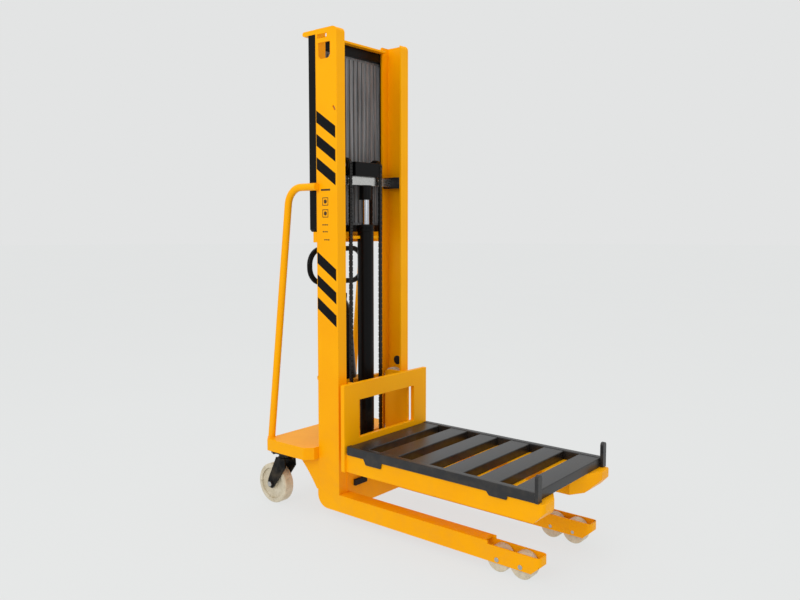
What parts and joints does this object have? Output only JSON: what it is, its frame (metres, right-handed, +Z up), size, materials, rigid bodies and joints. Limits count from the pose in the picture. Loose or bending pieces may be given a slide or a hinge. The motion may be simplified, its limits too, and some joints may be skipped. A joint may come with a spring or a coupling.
{
  "type": "walkie stacker",
  "caption": "Manual hydraulic stacker: channel mast with chain lift, forks carrying a slatted platform, straddle legs, hand pump, guard screen and swivel casters.",
  "frame": {"origin": "on the floor under the middle of the machine's bounding box", "axes": "+X forward along the forks, +Y to the operator's left, +Z up"},
  "size_m": [1.472, 0.592, 2.08],
  "materials": {
    "yellow_paint": "semi-gloss",
    "black_paint": "semi-gloss",
    "charcoal_paint": "satin",
    "grey_paint": "satin",
    "cream_nylon": "matte",
    "black_nylon": "matte",
    "rubber": "matte",
    "chrome": "polished",
    "bright_steel": "satin",
    "oiled_steel": "oiled"
  },
  "bodies": {
    "chassis": {"base_box": "yellow_paint", "base_gussets": "yellow_paint", "buffer_pads": "rubber", "caster_mounts": "black_paint", "chain_anchors": "yellow_paint", "chain_rear_left": "oiled_steel", "chain_rear_right": "oiled_steel", "cylinder_barrel": "black_paint", "guard_screen_frame": "black_paint", "guard_screen_panel": "grey_paint", "hydraulic_hose": "rubber", "leg_left": "yellow_paint", "leg_right": "yellow_paint", "load_roller_pins": "bright_steel", "mast_base_beam": "yellow_paint", "mast_mid_beam": "yellow_paint", "mast_top_beam": "yellow_paint", "mast_upright_left": "yellow_paint", "mast_upright_right": "yellow_paint", "pump_head": "black_paint", "pump_reservoir": "black_paint", "pump_shelf": "yellow_paint", "push_handle_left": "yellow_paint", "push_handle_right": "yellow_paint", "screen_arms": "yellow_paint"},
    "crosshead": {"piston_rod": "chrome", "piston_cap": "black_paint", "crosshead_guide_bar": "bright_steel", "crosshead_carrier": "black_paint", "crosshead_shoes": "black_nylon", "pulley_axle": "bright_steel", "chain_front_right": "oiled_steel", "chain_front_left": "oiled_steel"},
    "carriage": {"carriage_frame": "yellow_paint", "carriage_side_plate_right": "yellow_paint", "carriage_side_plate_left": "yellow_paint", "chain_lugs": "yellow_paint", "fork_right": "yellow_paint", "fork_left": "yellow_paint", "platform_rail_right": "charcoal_paint", "platform_rail_left": "charcoal_paint", "platform_slats": "charcoal_paint", "platform_posts": "charcoal_paint"},
    "pump_lever": {"pump_handle": "black_paint"},
    "pulley_right": {"chain_pulley_right": "oiled_steel"},
    "pulley_left": {"chain_pulley_left": "oiled_steel"},
    "guide_roller_right_upper": {"guide_roller_right_upper": "cream_nylon"},
    "guide_roller_right_lower": {"guide_roller_right_lower": "cream_nylon"},
    "guide_roller_left_upper": {"guide_roller_left_upper": "cream_nylon"},
    "guide_roller_left_lower": {"guide_roller_left_lower": "cream_nylon"},
    "load_roller_right_rear": {"load_roller_right_rear": "cream_nylon"},
    "load_roller_right_front": {"load_roller_right_front": "cream_nylon"},
    "load_roller_left_rear": {"load_roller_left_rear": "cream_nylon"},
    "load_roller_left_front": {"load_roller_left_front": "cream_nylon"},
    "caster_right": {"caster_yoke_right": "black_paint", "caster_axle_right": "bright_steel"},
    "caster_wheel_right": {"caster_wheel_right": "cream_nylon"},
    "caster_left": {"caster_yoke_left": "black_paint", "caster_axle_left": "bright_steel"},
    "caster_wheel_left": {"caster_wheel_left": "cream_nylon"}
  },
  "joints": [
    {"name": "piston_slide", "type": "slide", "parent": "chassis", "child": "crosshead", "axis": [0, 0, 1], "range_m": [0, 0.44], "deforming": ["chain_rear_right", "chain_rear_left"]},
    {"name": "carriage_slide", "type": "slide", "parent": "crosshead", "child": "carriage", "axis": [0, 0, 1], "range_m": [0, 0.44], "deforming": ["chain_front_right", "chain_front_left"]},
    {"name": "chain_pulley_right_spin", "type": "hinge", "parent": "crosshead", "child": "pulley_right", "pos_m": [-0.342, -0.098, 1.524], "axis": [0, 1, 0], "range_deg": [-901, 0]},
    {"name": "chain_pulley_left_spin", "type": "hinge", "parent": "crosshead", "child": "pulley_left", "pos_m": [-0.342, 0.098, 1.524], "axis": [0, 1, 0], "range_deg": [-901, 0]},
    {"name": "guide_roller_right_upper_spin", "type": "hinge", "parent": "carriage", "child": "guide_roller_right_upper", "pos_m": [-0.323, -0.206, 0.545], "axis": [0, 1, 0], "range_deg": [0, 1020]},
    {"name": "guide_roller_right_lower_spin", "type": "hinge", "parent": "carriage", "child": "guide_roller_right_lower", "pos_m": [-0.323, -0.206, 0.3], "axis": [0, 1, 0], "range_deg": [-1020, 0]},
    {"name": "guide_roller_left_upper_spin", "type": "hinge", "parent": "carriage", "child": "guide_roller_left_upper", "pos_m": [-0.323, 0.206, 0.545], "axis": [0, 1, 0], "range_deg": [0, 1020]},
    {"name": "guide_roller_left_lower_spin", "type": "hinge", "parent": "carriage", "child": "guide_roller_left_lower", "pos_m": [-0.323, 0.206, 0.3], "axis": [0, 1, 0], "range_deg": [-1020, 0]},
    {"name": "load_roller_right_rear_spin", "type": "hinge", "parent": "chassis", "child": "load_roller_right_rear", "pos_m": [0.529, -0.2025, 0.048], "axis": [0, 1, 0], "continuous": true},
    {"name": "load_roller_right_front_spin", "type": "hinge", "parent": "chassis", "child": "load_roller_right_front", "pos_m": [0.627, -0.2025, 0.048], "axis": [0, 1, 0], "continuous": true},
    {"name": "load_roller_left_rear_spin", "type": "hinge", "parent": "chassis", "child": "load_roller_left_rear", "pos_m": [0.529, 0.2025, 0.048], "axis": [0, 1, 0], "continuous": true},
    {"name": "load_roller_left_front_spin", "type": "hinge", "parent": "chassis", "child": "load_roller_left_front", "pos_m": [0.627, 0.2025, 0.048], "axis": [0, 1, 0], "continuous": true},
    {"name": "caster_right_swivel", "type": "hinge", "parent": "chassis", "child": "caster_right", "pos_m": [-0.579, -0.25, 0.221], "axis": [0, 0, 1], "continuous": true},
    {"name": "caster_wheel_right_spin", "type": "hinge", "parent": "caster_right", "child": "caster_wheel_right", "pos_m": [-0.646, -0.25, 0.09], "axis": [0, 1, 0], "continuous": true},
    {"name": "caster_left_swivel", "type": "hinge", "parent": "chassis", "child": "caster_left", "pos_m": [-0.579, 0.25, 0.221], "axis": [0, 0, 1], "continuous": true},
    {"name": "caster_wheel_left_spin", "type": "hinge", "parent": "caster_left", "child": "caster_wheel_left", "pos_m": [-0.646, 0.25, 0.09], "axis": [0, 1, 0], "continuous": true},
    {"name": "pump_handle_pivot", "type": "hinge", "parent": "chassis", "child": "pump_lever", "pos_m": [-0.494, 0, 0.975], "axis": [0, 1, 0], "range_deg": [-70, 0]}
  ],
  "couplings": [
    {"joint": "carriage_slide", "follows": "piston_slide", "ratio": 1},
    {"joint": "chain_pulley_right_spin", "follows": "piston_slide", "rad_per_m": -35.714},
    {"joint": "chain_pulley_left_spin", "follows": "piston_slide", "rad_per_m": -35.714},
    {"joint": "guide_roller_right_upper_spin", "follows": "piston_slide", "rad_per_m": 40.404},
    {"joint": "guide_roller_right_lower_spin", "follows": "piston_slide", "rad_per_m": -40.404},
    {"joint": "guide_roller_left_upper_spin", "follows": "piston_slide", "rad_per_m": 40.404},
    {"joint": "guide_roller_left_lower_spin", "follows": "piston_slide", "rad_per_m": -40.404}
  ]
}
